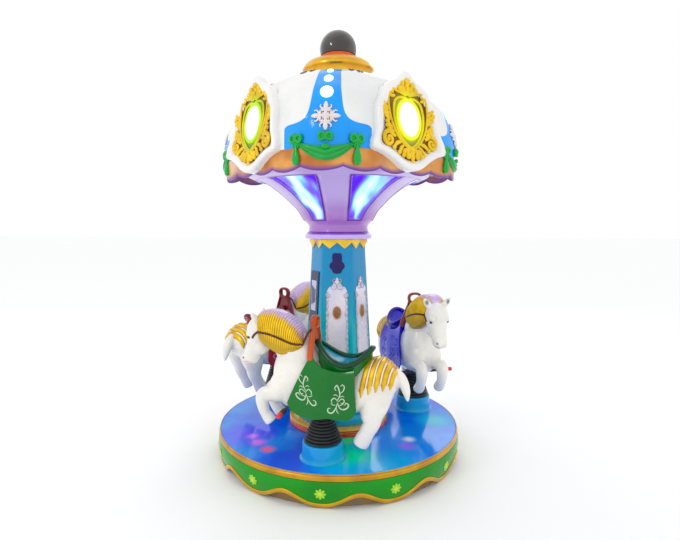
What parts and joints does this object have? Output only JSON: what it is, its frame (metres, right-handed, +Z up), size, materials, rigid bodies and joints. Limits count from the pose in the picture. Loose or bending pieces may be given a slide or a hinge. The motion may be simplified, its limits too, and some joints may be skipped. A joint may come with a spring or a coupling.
{
  "type": "children's carousel",
  "caption": "Small coin-ride carousel: a turning deck with bobbing horses around a tapered column, under a lit flare and a domed canopy with ornate boards.",
  "frame": {"origin": "centre of the base on the ground", "axes": "+Z up along the turning axis, -Y towards the first horse and the viewer, +X to the viewer's right"},
  "size_m": [1.352, 1.3488, 2.321],
  "materials": {
    "base_paint": "matt grey-brown paint",
    "deck_gloss": "glossy blue gel coat",
    "gold_paint": "satin gold paint",
    "skirt_green": "glossy green gel coat",
    "plinth_red": "glossy red gel coat",
    "column_teal": "glossy teal-blue gel coat",
    "plate_navy": "dark blue printed plate",
    "flare_lilac": "satin lilac paint",
    "light_panel": "lit diffuser sheet",
    "canopy_blue": "glossy blue and white gel coat",
    "board_white": "glossy white gel coat",
    "ornament_gold": "bright gold lacquer",
    "neck_orange": "glossy orange-red",
    "globe_smoke": "smoked glossy dome",
    "bellows_rubber": "black moulded rubber",
    "horse_white": "glossy warm white gel coat",
    "saddle_green": "glossy green paint",
    "saddle_blue": "glossy blue paint",
    "saddle_red": "glossy red paint",
    "handle_orange": "orange-brown paint",
    "handle_red": "dark red paint",
    "peg_black": "black painted tube with red ends"
  },
  "bodies": {
    "base": {"base_drum": "base_paint"},
    "turntable": {"deck": "deck_gloss", "rim_band": "gold_paint", "skirt": "skirt_green", "hem_band": "gold_paint", "plinth": "plinth_red", "column_foot": "column_teal", "column": "column_teal", "column_crown": "gold_paint", "control_plate": "plate_navy", "collar": "flare_lilac", "flare": "flare_lilac", "light_core": "light_panel", "canopy": "canopy_blue", "valance": "gold_paint", "board_1": "board_white", "board_2": "board_white", "board_3": "board_white", "board_4": "board_white", "cartouche_1": "ornament_gold", "cartouche_2": "ornament_gold", "cartouche_3": "ornament_gold", "cartouche_4": "ornament_gold", "cap": "ornament_gold", "neck": "neck_orange", "globe": "globe_smoke", "pedestal_1": "deck_gloss", "pedestal_2": "deck_gloss", "pedestal_3": "deck_gloss", "bellows_1": "bellows_rubber", "bellows_2": "bellows_rubber", "bellows_3": "bellows_rubber"},
    "horse_1": {"horse_1": "horse_white", "saddle_1": "saddle_green", "handle_1": "handle_orange", "footpeg_1": "peg_black"},
    "horse_2": {"horse_2": "horse_white", "saddle_2": "saddle_blue", "handle_2": "handle_orange", "footpeg_2": "peg_black"},
    "horse_3": {"horse_3": "horse_white", "saddle_3": "saddle_red", "handle_3": "handle_red", "footpeg_3": "peg_black"}
  },
  "joints": [
    {"name": "turntable_spin", "type": "hinge", "parent": "base", "child": "turntable", "pos_m": [0, 0, 0.148], "axis": [0, 0, 1], "continuous": true},
    {"name": "horse_1_bob", "type": "slide", "parent": "turntable", "child": "horse_1", "axis": [0, 0, 1], "range_m": [-0.008, 0.052], "deforming": ["bellows_1"]},
    {"name": "horse_2_bob", "type": "slide", "parent": "turntable", "child": "horse_2", "axis": [0, 0, 1], "range_m": [-0.033, 0.027], "deforming": ["bellows_2"]},
    {"name": "horse_3_bob", "type": "slide", "parent": "turntable", "child": "horse_3", "axis": [0, 0, 1], "range_m": [-0.038, 0.022], "deforming": ["bellows_3"]}
  ]
}
